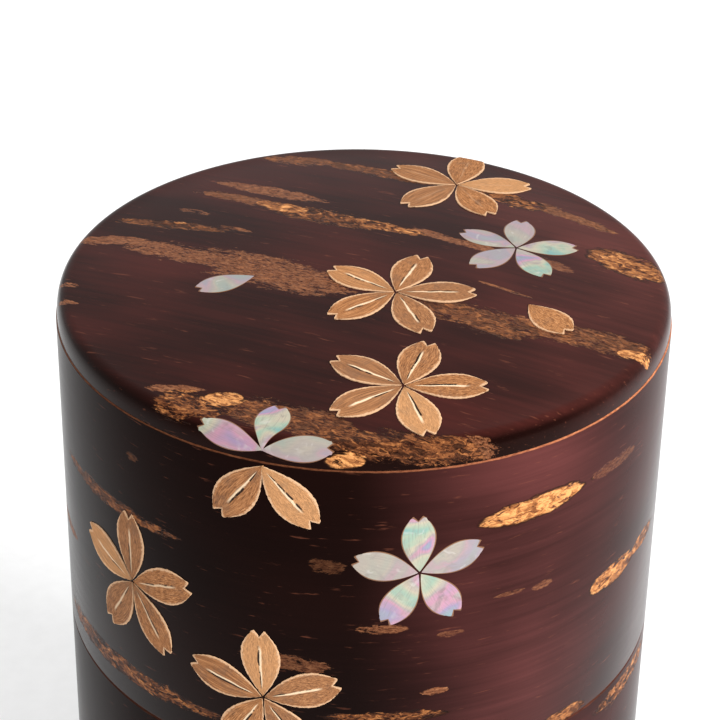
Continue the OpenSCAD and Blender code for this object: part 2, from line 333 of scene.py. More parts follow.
fray_big = noise(bark_skin, vectors(bark_skin, "MULTIPLY", sheet, (0.22, 0.75, 0.75)), 1.0, 3.0, 0.6, 0.6)
fray_fine = noise(bark_skin, vectors(bark_skin, "MULTIPLY", sheet, (1.1, 3.6, 3.6)), 1.0, 4.0, 0.65, 0.4)
loose = flipped(bark_skin, smooth(bark_skin, given["Gold"], 0.5, 0.9))
big_reach = maths(bark_skin, "MULTIPLY_ADD", loose, 1.1, 1.0)
fine_reach = maths(bark_skin, "MULTIPLY_ADD", loose, 1.5, 0.35)
ragged = swung(bark_skin, fray_big, big_reach, given["Depth"])
ragged = swung(bark_skin, fray_fine, fine_reach, ragged)
mark = smooth(bark_skin, ragged, 0.02, 0.20)
worn = noise(bark_skin, vectors(bark_skin, "MULTIPLY", sheet, (0.45, 1.3, 1.3)), 1.0, 6.0, 0.7, 0.8)
worn = maths(bark_skin, "SUBTRACT", worn, maths(bark_skin, "MULTIPLY", ragged, 0.06))
mark = maths(bark_skin, "MULTIPLY", mark, flipped(bark_skin, smooth(bark_skin, worn, 0.51, 0.60)))
strength = maths(bark_skin, "MULTIPLY_ADD", given["Gold"], 2.6, -0.05, clamp=True)
mark = maths(bark_skin, "MULTIPLY", mark, strength)

swirl = noise(bark_skin, vectors(bark_skin, "MULTIPLY", sheet, (0.5, 0.9, 0.9)), 1.0, 2.0, 0.5, 0.0, "Color")
burl_place = vectors(
    bark_skin,
    "ADD",
    vectors(bark_skin, "MULTIPLY", sheet, (0.55, 1.15, 1.15)),
    vectors(bark_skin, "MULTIPLY", swirl, (2.2, 2.2, 2.2)),
)
burl = noise(bark_skin, burl_place, 1.0, 6.0, 0.60, 1.0)
burl_gold = maths(bark_skin, "MULTIPLY_ADD", maths(bark_skin, "SUBTRACT", given["Gold"], 0.75), 0.42, burl)
burl_colour = ramp(
    bark_skin,
    burl_gold,
    [
        (0.34, (0.010, 0.004, 0.003)),
        (0.41, (0.065, 0.020, 0.008)),
        (0.49, (0.18, 0.062, 0.021)),
        (0.57, (0.35, 0.135, 0.043)),
        (0.69, (0.66, 0.30, 0.105)),
    ],
)
cork = noise(bark_skin, vectors(bark_skin, "MULTIPLY", sheet, (1.3, 3.6, 3.6)), 1.0, 6.0, 0.75, 0.8)
cork_stops = [(0.38, (0.024, 0.009, 0.005)), (0.47, (0.170, 0.056, 0.024)), (0.66, (0.40, 0.170, 0.076))]
cork_colour = ramp(bark_skin, cork, cork_stops)
share = maths(bark_skin, "MULTIPLY", maths(bark_skin, "SUBTRACT", given["Gold"], 0.3), 3.5, clamp=True)
mark_colour = blend(bark_skin, share, cork_colour, burl_colour)
inner_side = smooth(bark_skin, ragged, 0.06, 0.3)
outline = maths(bark_skin, "SUBTRACT", smooth(bark_skin, ragged, -0.10, 0.04), inner_side)
outline = maths(bark_skin, "MULTIPLY", outline, maths(bark_skin, "MULTIPLY", share, 0.75))
colour = blend(bark_skin, mark, base, mark_colour)
colour = blend(bark_skin, outline, colour, (0.014, 0.005, 0.003, 1))
bark_skin.links.new(colour, gives["Colour"])

smoothest = maths(bark_skin, "SUBTRACT", given["Gloss roughness"], 0.05)
polish = maths(bark_skin, "MULTIPLY_ADD", streak, 0.10, smoothest)
rough = maths(bark_skin, "MULTIPLY_ADD", mark, 0.16, polish)
bark_skin.links.new(rough, gives["Roughness"])
relief = maths(bark_skin, "MULTIPLY", maths(bark_skin, "SUBTRACT", burl, 0.58), mark)
height = maths(bark_skin, "MULTIPLY_ADD", streak, 0.035, maths(bark_skin, "MULTIPLY", relief, 1.5))
bark_skin.links.new(height, gives["Height"])
bark_skin.links.new(mark, gives["Lenticel"])
print("group", bark_skin.name)

# %% [markdown]
# ## A new material
#
# Every material starts the same way: a fresh one with its Principled shader, and a
# Texture Coordinate node whose Object output gives each point's place. The pieces
# all sit at the origin, so Object coordinates are the caddy's own coordinates.

# %% Material helpers
def new_material(name, rough=0.4, coat=0.0, shine=0.5, sheen_tint=(1.0, 1.0, 1.0)):
    material = bpy.data.materials.new(name)
    material.use_nodes = True
    tree = material.node_tree
    shader = tree.nodes["Principled BSDF"]
    shader.inputs["Roughness"].default_value = rough
    shader.inputs["Coat Weight"].default_value = coat
    shader.inputs["Specular IOR Level"].default_value = shine
    shader.inputs["Specular Tint"].default_value = (*sheen_tint, 1)
    shader.inputs["Coat Roughness"].default_value = 0.12
    place = tree.nodes.new("ShaderNodeTexCoord")
    return material, tree, shader, place


def add_bump(tree, shader, height, distance, strength=1.0):
    bump = tree.nodes.new("ShaderNodeBump")
    bump.inputs["Strength"].default_value = strength
    bump.inputs["Distance"].default_value = distance
    feed(tree, bump.inputs["Height"], height)
    tree.links.new(bump.outputs["Normal"], shader.inputs["Normal"])


def chain_lenticels(tree, sheet, places):
    """Chains one lenticel for each place, and gives the depth and the goldness."""
    sheet = vectors(tree, "MULTIPLY_ADD", sheet, (1.0, 1.0, 0.0), (0.0, 0.0, -2.0))
    gold = 0.0
    for x, y, angle, half_length, half_width, goldness in places:
        passed_on = use_group(
            tree,
            lenticel,
            Sheet=sheet,
            Centre=(x, y, 0.0),
            Angle=math.radians(angle),
            Half_length=half_length,
            Half_width=half_width,
            Goldness=goldness,
            Gold_so_far=gold,
        )
        sheet, gold = passed_on["Sheet"], passed_on["Gold"]
    split = tree.nodes.new("ShaderNodeSeparateXYZ")
    tree.links.new(sheet, split.inputs[0])
    return split.outputs["Z"], gold


print("material helpers ready")

# %% [markdown]
# ## Bark for the walls
#
# Lid and body are wrapped as one tube and sawn apart afterwards, so one material
# serves both and its figure runs across the seam. The lenticels of the front are
# listed as place round the caddy, height from the rim line, slant, half length,
# half width and how golden they are. The rest of the wall is strewn. Light and
# shade are painted into the bark's colour: it is nearly black on the shaded left
# and middle of the front, turns lighter wine red towards the right, where the key
# lamp falls, and fades again. The sawn and rubbed edges at the rim and the seam
# show its orange inside. The rim's orange line is painted strong on the lit right
# and dim in the shade at the left, and a painted dark band just inside it stands
# in for the shade in the groove at the crown's foot.

# %% Material: polished bark wall
WALL_LENTICELS = [
    (-37, -15, 1, 12.5, 1.0, 0.5),
    (-36, -40.4, 1, 18, 1.5, 0.58),
    (22.4, -8.6, 2, 8.0, 1.7, 1.0),
    (36, -8.1, 0, 5, 0.9, 0.13),
    (38.0, -25.7, 0, 5.6, 1.7, 0.85),
    (46.5, -25.5, 1, 4.4, 1.2, 0.7),
    (-4, -13.7, 0, 2.4, 1.1, 0.1),
    (3, -23, 0, 3.2, 0.8, 0.24),
    (11.5, -24.5, 0, 1.8, 0.5, 0.15),
    (19, -20.4, 0, 2.4, 0.4, 0.15),
    (24, -20.8, 0, 1.6, 0.6, 0.18),
    (9.7, -33.2, 0, 1.8, 0.5, 0.35),
    (3.5, -36.7, 0, 8, 0.9, 0.6),
    (-9, -29, 0, 6, 1.2, 0.2),
    (29.5, -44, 0, 4, 1.2, 0.7),
    (45, -47.5, 0, 9, 1.5, 0.6),
    (-31, -6, 0, 1.2, 0.6, 0.12),
    (-52, -28, 0, 5, 0.8, 0.4),
    (-8, -58, 0, 13, 1.6, 0.55),
    (30, -72, 1, 10, 1.8, 0.9),
    (-34, -84, -1, 14, 1.7, 0.45),
    (10, -100, 0, 11, 1.4, 0.6),
]


def wall_bark(name, rim_edge):
    material, tree, shader, place = new_material(name, shine=0.055, sheen_tint=(1.0, 0.45, 0.36))
    sheet = use_group(tree, unrolled, Position=place.outputs["Object"])["Sheet"]
    placed = [(x, rim_z / MM + y, *rest) for x, y, *rest in WALL_LENTICELS]
    depth, gold = chain_lenticels(tree, sheet, placed)
    parts = tree.nodes.new("ShaderNodeSeparateXYZ")
    tree.links.new(sheet, parts.inputs[0])
    round_back = smooth(tree, maths(tree, "ABSOLUTE", parts.outputs["X"]), 55.0, 62.0)
    spread = use_group(tree, strewn, Sheet=sheet, Share_kept=0.34)
    kept_off_front = maths(tree, "MULTIPLY", flipped(tree, round_back), 4.0)
    depth = maths(tree, "MAXIMUM", depth, maths(tree, "SUBTRACT", spread["Depth"], kept_off_front))
    gold = maths(tree, "MAXIMUM", gold, maths(tree, "MULTIPLY", spread["Gold"], round_back))
    # Painted side light: the wall is painted near black on the shaded left and lighter, redder towards the
    # right, where the key lamp falls.
    painted_side_light = smooth(tree, parts.outputs["X"], -2.0, 24.0)
    fading = maths(tree, "MULTIPLY_ADD", smooth(tree, parts.outputs["X"], 20.0, 40.0), -0.65, 1.0)
    painted_side_light = maths(tree, "MULTIPLY", painted_side_light, fading)
    painted_side_light = maths(tree, "MAXIMUM", painted_side_light, maths(tree, "MULTIPLY", round_back, 0.35))
    warm = blend(tree, painted_side_light, (0.0042, 0.0011, 0.0009, 1), (0.092, 0.0255, 0.0240, 1))
    dark = blend(tree, painted_side_light, (0.0016, 0.0005, 0.0005, 1), (0.032, 0.0092, 0.0085, 1))
    skin = use_group(tree, bark_skin, Sheet=sheet, Depth=depth, Gold=gold, Dark=dark, Warm=warm)
    wobble = noise(tree, vectors(tree, "MULTIPLY", sheet, (0.5, 1.5, 1.5)), 1.0, 3.0, 0.6)
    above = maths(tree, "SUBTRACT", parts.outputs["Y"], rim_edge / MM)
    above = maths(tree, "MULTIPLY_ADD", wobble, 0.20, above)
    outer = maths(tree, "SUBTRACT", parts.outputs["Z"], case_r / MM)
    outer = maths(tree, "MULTIPLY_ADD", wobble, 0.3, outer)
    # The orange rim line is the bark's cut edge; its strength is painted light, strong on the lit right and
    # dim in the shade at the left.
    painted_rim_light = smooth(tree, parts.outputs["X"], -12.0, 38.0)
    from_rim = maths(tree, "MULTIPLY", smooth(tree, above, -0.12, 0.04), smooth(tree, outer, -0.42, -0.12))
    edge = maths(tree, "MULTIPLY", from_rim, maths(tree, "MULTIPLY_ADD", painted_rim_light, 0.65, 0.22))
    fleck = noise(tree, vectors(tree, "MULTIPLY", sheet, (1.6, 9.0, 9.0)), 1.0, 5.0, 0.7)
    edge_stops = [(0.3, (0.16, 0.045, 0.02)), (0.5, (0.48, 0.16, 0.07)), (0.7, (0.74, 0.30, 0.14))]
    colour = blend(tree, edge, skin["Colour"], ramp(tree, fleck, edge_stops))
    # Painted shade: a dark band just inside the rim stands in for the shade in the groove at the crown's
    # foot.
    painted_groove_shade = flipped(tree, smooth(tree, outer, -0.55, -0.30))
    painted_groove_shade = maths(tree, "MULTIPLY", painted_groove_shade, smooth(tree, above, -0.12, 0.04))
    colour = blend(tree, maths(tree, "MULTIPLY", painted_groove_shade, 0.8), colour, (0.012, 0.004, 0.003, 1))
    from_seam = maths(tree, "ABSOLUTE", maths(tree, "SUBTRACT", parts.outputs["Y"], seam_z / MM))
    from_seam = maths(tree, "MULTIPLY_ADD", wobble, 0.35, from_seam)
    seam_wear = flipped(tree, smooth(tree, from_seam, 0.25, 0.55))
    colour = blend(tree, maths(tree, "MULTIPLY", seam_wear, 0.22), colour, (0.22, 0.07, 0.035, 1))
    sheet_end = math.pi * case_r / MM
    from_front = maths(tree, "ABSOLUTE", parts.outputs["X"])
    sheet_joint = smooth(tree, from_front, sheet_end - 0.22, sheet_end - 0.10)
    colour = blend(tree, sheet_joint, colour, (0.006, 0.003, 0.002, 1))
    tree.links.new(colour, shader.inputs["Base Color"])
    tree.links.new(maths(tree, "MULTIPLY_ADD", edge, 0.3, skin["Roughness"]), shader.inputs["Roughness"])
    height = maths(tree, "SUBTRACT", skin["Height"], maths(tree, "MULTIPLY", sheet_joint, 0.8))
    add_bump(tree, shader, height, 0.12 * MM)
    return material


bark_wall = wall_bark("polished_bark_wall", rim_z)
print("material", bark_wall.name, len(bark_wall.node_tree.nodes), "nodes")

# %% [markdown]
# ## Bark for the crown
#
# The top is a second sheet, pressed over a domed board, and its grain runs at a
# slant. Its lenticels are listed by their place on the top seen from above, with the
# same slant, half length, half width and goldness as before. Over the shoulder the
# plan is stretched with the drop, so that a lenticel runs down it instead of being
# cut off. Shade and light are painted into its colour: the shoulder is painted
# nearly black, standing in for the dark surroundings it mirrors, and the top is
# painted lighter and redder to the right, where the lamp falls.

# %% Material: polished bark crown
CROWN_GRAIN, SHOULDER_H = -23, 3.35
CROWN_LENTICELS = [
    (-9.8, 34.1, -12, 5.2, 1.6, 0.45),
    (-1.4, 31.1, -18, 4.0, 0.8, 0.35),
    (-12.8, 23.1, -25, 8.4, 1.3, 0.33),
    (-16.4, 20.6, -25, 7.8, 1.1, 0.42),
    (-11.3, 18.4, -20, 3.4, 1.2, 0.8),
    (-5.8, 15.2, -22, 9.2, 1.9, 0.55),
    (2.6, 12.4, -24, 5.4, 1.2, 0.68),
    (8.6, 10.6, -24, 4.4, 0.9, 0.35),
    (-25.7, 13.2, -15, 8.6, 1.1, 0.55),
    (-23.4, 17.2, -24, 2.4, 0.6, 0.25),
    (-17.4, 11.6, -24, 2.6, 0.45, 0.4),
    (-34, 9.2, -6, 5.2, 1.2, 0.3),
    (-25, 5.2, -24, 8.0, 2.2, 0.33),
    (-12.4, -0.4, -25, 12, 3.7, 0.38),
    (14, -11.2, -29, 8.6, 2.7, 0.5),
    (22.6, -13.4, -30, 6.4, 1.6, 0.4),
    (30.6, -15.8, -25, 7.0, 2.4, 0.48),
    (34.2, -18.4, -18, 2.6, 1.0, 1.0),
    (13.6, 8.1, -24, 4.4, 0.9, 0.3),
    (24.4, 3.6, -35, 3.4, 1.1, 0.22),
    (2.6, 29.8, -24, 8, 1.5, 0.5),
    (19.8, 22.4, -30, 5.0, 1.8, 0.6),
    (27.4, 18.4, -36, 7.5, 1.2, 0.4),
    (34.6, 4.9, -34, 6.2, 2.9, 0.75),
    (18.2, -3.9, -29, 3.8, 0.35, 0.4),
    (-22.4, -27.9, -6, 3.6, 0.8, 0.35),
    (-20.6, -31.6, -14, 4.8, 2.6, 0.6),
    (-16.6, -30.0, 0, 2.6, 1.3, 1.0),
    (-8.6, -34.4, -19, 9.6, 3.0, 0.5),
    (3.4, -39.0, -4, 10.5, 2.6, 0.55),
    (-2.0, -41.6, 0, 2.6, 1.0, 1.0),
    (11.5, -38.8, 4, 5.5, 1.8, 0.42),
    (-38.6, -2.5, -20, 2.0, 0.5, 0.3),
    (-38.2, -7, -20, 2.0, 0.5, 0.3),
]
bark_crown, tree, shader, place = new_material(
    "polished_bark_crown", shine=0.075, sheen_tint=(1.0, 0.45, 0.36)
)
plan = vectors(tree, "MULTIPLY", place.outputs["Object"], (1000.0, 1000.0, 1000.0))
levels = tree.nodes.new("ShaderNodeSeparateXYZ")
tree.links.new(plan, levels.inputs[0])
fall = maths(tree, "SUBTRACT", rim_z / MM + SHOULDER_H, levels.outputs["Z"])
drop = maths(tree, "MAXIMUM", fall, 0.0)
stretch = tree.nodes.new("ShaderNodeCombineXYZ")
longer = maths(tree, "MULTIPLY_ADD", drop, 0.9 * MM / case_r, 1.0)
feed(tree, stretch.inputs["X"], longer)
feed(tree, stretch.inputs["Y"], longer)
stretch.inputs["Z"].default_value = 1.0
plan = vectors(tree, "MULTIPLY", plan, stretch.outputs[0])
depth, gold = chain_lenticels(tree, plan, CROWN_LENTICELS)
along_grain = tree.nodes.new("ShaderNodeVectorRotate")
along_grain.rotation_type = "Z_AXIS"
along_grain.inputs["Angle"].default_value = math.radians(-CROWN_GRAIN)
tree.links.new(plan, along_grain.inputs["Vector"])
# Painted side light: the top is painted lighter and redder towards the right, where the lamp falls.
painted_side_light = smooth(tree, levels.outputs["X"], 8.0, 40.0)
warm = blend(tree, painted_side_light, (0.044, 0.0085, 0.0066, 1), (0.088, 0.0210, 0.0170, 1))
dark = blend(tree, painted_side_light, (0.014, 0.0036, 0.0030, 1), (0.032, 0.0080, 0.0066, 1))
# Painted shade: the shoulder is painted nearly black, standing in for the dark surroundings it mirrors, less
# so at the lit right.
painted_shoulder_shade = maths(tree, "MULTIPLY", smooth(tree, fall, -0.12, 1.0), 0.95)
less_at_right = maths(tree, "MULTIPLY_ADD", smooth(tree, levels.outputs["X"], 22.0, 37.0), -0.6, 1.0)
painted_shoulder_shade = maths(tree, "MULTIPLY", painted_shoulder_shade, less_at_right)
warm = blend(tree, painted_shoulder_shade, warm, (0.0040, 0.0008, 0.0006, 1))
dark = blend(tree, painted_shoulder_shade, dark, (0.0020, 0.0005, 0.0004, 1))
skin = use_group(tree, bark_skin, Sheet=along_grain.outputs[0], Depth=depth, Gold=gold, Dark=dark, Warm=warm)
tree.links.new(skin["Colour"], shader.inputs["Base Color"])
tree.links.new(skin["Roughness"], shader.inputs["Roughness"])
add_bump(tree, shader, skin["Height"], 0.12 * MM)
print("material", bark_crown.name, len(tree.nodes), "nodes")

# %% [markdown]
# ## Bark inside the caddy
#
# The neck, the linings and the inner lid are faced with bark too, but it is left
# satin and rubs lighter with use. The same effects serve, with redder colours and a
# larger share of strewn lenticels. Flat discs read the plan instead of the unrolled
# wall.

# %% Materials: inner bark
def inner_bark(name, flat_sheet, dark, warm, gloss, coat, share):
    material, tree, shader, place = new_material(name, coat=coat)
    if flat_sheet:
        sheet = vectors(tree, "MULTIPLY", place.outputs["Object"], (1000.0, 1000.0, 1000.0))
    else:
        sheet = use_group(tree, unrolled, Position=place.outputs["Object"])["Sheet"]
    spread = use_group(tree, strewn, Sheet=sheet, Share_kept=share)
    skin = use_group(
        tree,
        bark_skin,
        Sheet=sheet,
        Depth=spread["Depth"],
        Gold=spread["Gold"],
        Dark=(*dark, 1),
        Warm=(*warm, 1),
        Gloss_roughness=gloss,
        Dashes=0.6,
    )
    tree.links.new(skin["Colour"], shader.inputs["Base Color"])
    tree.links.new(skin["Roughness"], shader.inputs["Roughness"])
    add_bump(tree, shader, skin["Height"], 0.10 * MM)
    return material


neck_tones = (0.050, 0.017, 0.010), (0.13, 0.042, 0.022)
plain_tones = (0.075, 0.026, 0.014), (0.19, 0.066, 0.034)
disc_tones = (0.032, 0.011, 0.008), (0.095, 0.028, 0.016)
bark_neck = inner_bark("neck_bark_satin", False, *neck_tones, gloss=0.30, coat=0.25, share=0.30)
bark_lining = inner_bark("lining_bark_satin", False, *plain_tones, gloss=0.38, coat=0.1, share=0.35)
bark_disc = inner_bark("disc_bark_satin", True, *disc_tones, gloss=0.26, coat=0.4, share=0.32)
bark_disc_plain = inner_bark("disc_bark_plain", True, *plain_tones, gloss=0.40, coat=0.1, share=0.35)
print("inner barks", [m.name for m in (bark_neck, bark_lining, bark_disc, bark_disc_plain)])

# %% [markdown]
# ## Rough bark for the petals
#
# The brown petals are punched from bark that is left rough. Each one has fibres
# running from base to tip, a mottled tan face, a pale frayed edge, and mostly a pale
# slit down its middle where the layers part. The pattern follows the petal's own UV
# map: U runs from base to tip and V from edge to edge, so fibres gather at the base
# as they do on the real petal. Two numbers that each petal carries, luck and slit,
# say how brown or pale it is and how clearly its slit shows.

# %% Material: rough bark petal
rough_bark, tree, shader, place = new_material("rough_bark_petal", rough=0.9, shine=0.2)
uv = tree.nodes.new("ShaderNodeSeparateXYZ")
tree.links.new(place.outputs["UV"], uv.inputs[0])
body_place = vectors(tree, "MULTIPLY", place.outputs["Object"], (1000.0, 1000.0, 1000.0))
length_way, width_way = uv.outputs["X"], uv.outputs["Y"]
each_petal = vectors(tree, "MULTIPLY", body_place, (0.9, 0.9, 0.9))
fibre_place = vectors(tree, "MULTIPLY", place.outputs["UV"], (9.0, 42.0, 0.0))
fibres = noise(tree, vectors(tree, "ADD", fibre_place, each_petal), 1.0, 5.0, 0.7, 0.3)
mottle = noise(tree, vectors(tree, "MULTIPLY", body_place, (0.42, 0.42, 0.42)), 1.0, 5.0, 0.65, 0.4)
fibre_stops = [
    (0.32, (0.045, 0.017, 0.008)),
    (0.43, (0.22, 0.084, 0.029)),
    (0.56, (0.43, 0.182, 0.068)),
    (0.71, (0.66, 0.34, 0.155)),
]
tan = ramp(tree, fibres, fibre_stops)
stain = maths(tree, "MULTIPLY", smooth(tree, mottle, 0.50, 0.70), 0.5)
tan = blend(tree, stain, tan, (0.13, 0.070, 0.045, 1))
grit = noise(tree, vectors(tree, "MULTIPLY", body_place, (5.5, 5.5, 5.5)), 1.0, 3.0, 0.7)
specks = maths(tree, "MULTIPLY", smooth(tree, grit, 0.60, 0.74), 0.6)
tan = blend(tree, specks, tan, (0.085, 0.034, 0.018, 1))
luck = tree.nodes.new("ShaderNodeAttribute")
luck.attribute_name = "luck"
slit_wish = tree.nodes.new("ShaderNodeAttribute")
slit_wish.attribute_name = "slit"
browner = maths(tree, "MULTIPLY", smooth(tree, luck.outputs["Fac"], 0.25, 0.95), 0.35)
tan = blend(tree, browner, tan, (0.20, 0.105, 0.060, 1))
paler = maths(tree, "MULTIPLY", flipped(tree, smooth(tree, luck.outputs["Fac"], 0.08, 0.30)), 0.35)
tan = blend(tree, paler, tan, (0.74, 0.41, 0.19, 1))

from_middle = maths(tree, "ABSOLUTE", maths(tree, "SUBTRACT", width_way, 0.5))
wander = noise(tree, vectors(tree, "MULTIPLY", body_place, (2.4, 2.4, 2.4)), 1.0, 4.0, 0.7)
edge = smooth(tree, swung(tree, wander, 0.16, from_middle), 0.425, 0.478)
tip_edge = smooth(tree, swung(tree, wander, 0.05, length_way), 0.962, 0.99)
edge = maths(tree, "MULTIPLY", maths(tree, "MAXIMUM", edge, tip_edge), 0.8)
tan = blend(tree, edge, tan, (0.70, 0.44, 0.26, 1))

slit_bend = noise(tree, vectors(tree, "MULTIPLY", body_place, (0.35, 0.35, 0.35)), 1.0, 2.0)
slit_place = swung(tree, slit_bend, 0.10, maths(tree, "SUBTRACT", width_way, 0.5))
slit_off = maths(tree, "ABSOLUTE", slit_place)
before_tip = flipped(tree, smooth(tree, length_way, 0.68, 0.84))
slit_span = maths(tree, "MULTIPLY", smooth(tree, length_way, 0.08, 0.18), before_tip)
slit_show = maths(tree, "MULTIPLY", slit_span, slit_wish.outputs["Fac"])
slit_lip = maths(tree, "MULTIPLY", flipped(tree, smooth(tree, slit_off, 0.014, 0.050)), slit_show)
tan = blend(tree, slit_lip, tan, (0.80, 0.60, 0.40, 1))
gap_off = maths(tree, "ABSOLUTE", maths(tree, "SUBTRACT", slit_place, 0.042))
gap = flipped(tree, smooth(tree, gap_off, 0.014, 0.034))
gap = maths(tree, "MULTIPLY", gap, maths(tree, "MULTIPLY", slit_show, smooth(tree, mottle, 0.47, 0.53)))
tan = blend(tree, gap, tan, (0.022, 0.010, 0.006, 1))
tree.links.new(tan, shader.inputs["Base Color"])
lift = maths(tree, "MULTIPLY_ADD", fibres, 0.9, maths(tree, "MULTIPLY", grit, 0.5))
lift = maths(tree, "MULTIPLY_ADD", slit_lip, 0.35, lift)
lift = maths(tree, "SUBTRACT", lift, maths(tree, "MULTIPLY", gap, 1.4))
add_bump(tree, shader, lift, 0.13 * MM)
print("material", rough_bark.name, len(tree.nodes), "nodes")

# %% [markdown]
# ## Mother-of-pearl
#
# The pale petals are thin abalone shell, ground flush and polished. Shell changes
# colour over a few millimetres from mint to lavender, pink and cream, with fine
# growth lines and here and there a smoky patch, and some petals are nearly grey. A
# slow noise picks the tint, moved on by each petal's luck, because each is cut from
# another place in the shell. A fine stretched one draws the lines, and the UV map
# gives the thin brown line of glue along every edge.

# %% Material: mother-of-pearl
pearl, tree, shader, place = new_material("mother_of_pearl", rough=0.25, coat=0.1, shine=0.25)
shader.inputs["Metallic"].default_value = 0.1
uv = tree.nodes.new("ShaderNodeSeparateXYZ")
tree.links.new(place.outputs["UV"], uv.inputs[0])
body_place = vectors(tree, "MULTIPLY", place.outputs["Object"], (1000.0, 1000.0, 1000.0))
luck = tree.nodes.new("ShaderNodeAttribute")
luck.attribute_name = "luck"
own_piece = vectors(tree, "MULTIPLY", luck.outputs["Vector"], (37.0, 21.0, 13.0))
shell_place = vectors(tree, "ADD", vectors(tree, "MULTIPLY", body_place, (0.13, 0.16, 0.14)), own_piece)
wave = noise(tree, shell_place, 1.0, 2.5, 0.5, 0.9)
tint = ramp(
    tree,
    wave,
    [
        (0.30, (0.15, 0.31, 0.29)),
        (0.38, (0.28, 0.36, 0.27)),
        (0.45, (0.41, 0.36, 0.27)),
        (0.50, (0.31, 0.27, 0.26)),
        (0.55, (0.43, 0.22, 0.29)),
        (0.60, (0.26, 0.21, 0.33)),
        (0.65, (0.22, 0.26, 0.31)),
        (0.73, (0.16, 0.32, 0.30)),
    ],
)
line_place = vectors(tree, "MULTIPLY", place.outputs["UV"], (2.0, 26.0, 0.0))
line_shift = vectors(tree, "MULTIPLY", body_place, (0.5, 0.5, 0.5))
lines = noise(tree, vectors(tree, "ADD", line_place, line_shift), 1.0, 4.0, 0.6, 0.6)
line_show = maths(tree, "MULTIPLY", smooth(tree, lines, 0.46, 0.66), 0.45)
tint = blend(tree, line_show, tint, (0.20, 0.18, 0.165, 1))
smoke = noise(tree, vectors(tree, "MULTIPLY", body_place, (0.33, 0.33, 0.33)), 1.0, 3.0, 0.6, 0.8)
smoke_show = maths(tree, "MULTIPLY", smooth(tree, smoke, 0.56, 0.70), 0.55)
tint = blend(tree, smoke_show, tint, (0.15, 0.125, 0.12, 1))
greyer = maths(tree, "MULTIPLY", smooth(tree, luck.outputs["Fac"], 0.45, 0.65), 0.6)
tint = blend(tree, greyer, tint, (0.275, 0.240, 0.220, 1))
# Painted glint: pale patches in the shell's colour stand in for bright reflections.
glint = noise(tree, vectors(tree, "MULTIPLY", body_place, (0.6, 0.6, 0.6)), 1.0, 2.0, 0.5, 1.0)
glint_show = maths(tree, "MULTIPLY", smooth(tree, glint, 0.60, 0.74), 0.35)
tint = blend(tree, glint_show, tint, (0.52, 0.50, 0.46, 1))
from_middle = maths(tree, "ABSOLUTE", maths(tree, "SUBTRACT", uv.outputs["Y"], 0.5))
glue_at_tip = smooth(tree, uv.outputs["X"], 0.965, 0.98)
glue = maths(tree, "MAXIMUM", smooth(tree, from_middle, 0.455, 0.475), glue_at_tip)
tint = blend(tree, glue, tint, (0.17, 0.075, 0.035, 1))
tree.links.new(tint, shader.inputs["Base Color"])
add_bump(tree, shader, maths(tree, "ADD", lines, maths(tree, "MULTIPLY", wave, 2.0)), 0.02 * MM)
print("material", pearl.name, len(tree.nodes), "nodes")

# %% [markdown]
# ## Pale core wood
#
# The tubes and boards under the bark are plain pale wood. They show only as thin
# rings at the seam and under the inner lid, but a ring of flat colour would give the
# caddy away as a model. Fine pores along the grain and slow bands are enough.

# %% Material: core wood
core_wood, tree, shader, place = new_material("core_wood", rough=0.62)
body_place = vectors(tree, "MULTIPLY", place.outputs["Object"], (1000.0, 1000.0, 1000.0))
bands = noise(tree, vectors(tree, "MULTIPLY", body_place, (0.12, 0.9, 0.12)), 1.0, 4.0, 0.6, 0.5)
pores = noise(tree, vectors(tree, "MULTIPLY", body_place, (0.6, 7.0, 7.0)), 1.0, 3.0, 0.7)
wood_stops = [(0.3, (0.36, 0.21, 0.10)), (0.5, (0.52, 0.34, 0.18)), (0.7, (0.62, 0.44, 0.25))]
pore_show = maths(tree, "MULTIPLY", smooth(tree, pores, 0.58, 0.72), 0.5)
wood = blend(tree, pore_show, ramp(tree, bands, wood_stops), (0.22, 0.12, 0.055, 1))
tree.links.new(wood, shader.inputs["Base Color"])
add_bump(tree, shader, pores, 0.04 * MM)
print("material", core_wood.name)

# %% [markdown]
# ## Turning round pieces
#
# All of the caddy's skins are round, so one helper turns them as a lathe would. It
# adds a circle at the first corner of a section, then extrudes that ring from corner
# to corner, moving and resizing it, until the section closes. A bevel modifier then
# rounds the corners, which catches the light along every edge.

# %% Turning helper
def nothing_selected():
    if bpy.context.mode != "OBJECT":
        bpy.ops.object.mode_set(mode="OBJECT")
    bpy.ops.object.select_all(action="DESELECT")


def select_where(test):
    """In edit mode, selects the vertices whose place passes the test, and nothing else."""
    bpy.ops.mesh.select_all(action="DESELECT")
    mesh = bmesh.from_edit_mesh(bpy.context.object.data)
    mesh.select_mode = {"VERT"}
    for v in mesh.verts:
        v.select_set(test(v.co))
    mesh.select_flush_mode()
    bmesh.update_edit_mesh(bpy.context.object.data)


def apply_modifier(piece, kind, **settings):
    modifier = piece.modifiers.new(kind.lower(), kind)
    for label, value in settings.items():
        setattr(modifier, label, value)
    bpy.context.view_layer.objects.active = piece
    bpy.ops.object.modifier_apply(modifier=modifier.name)


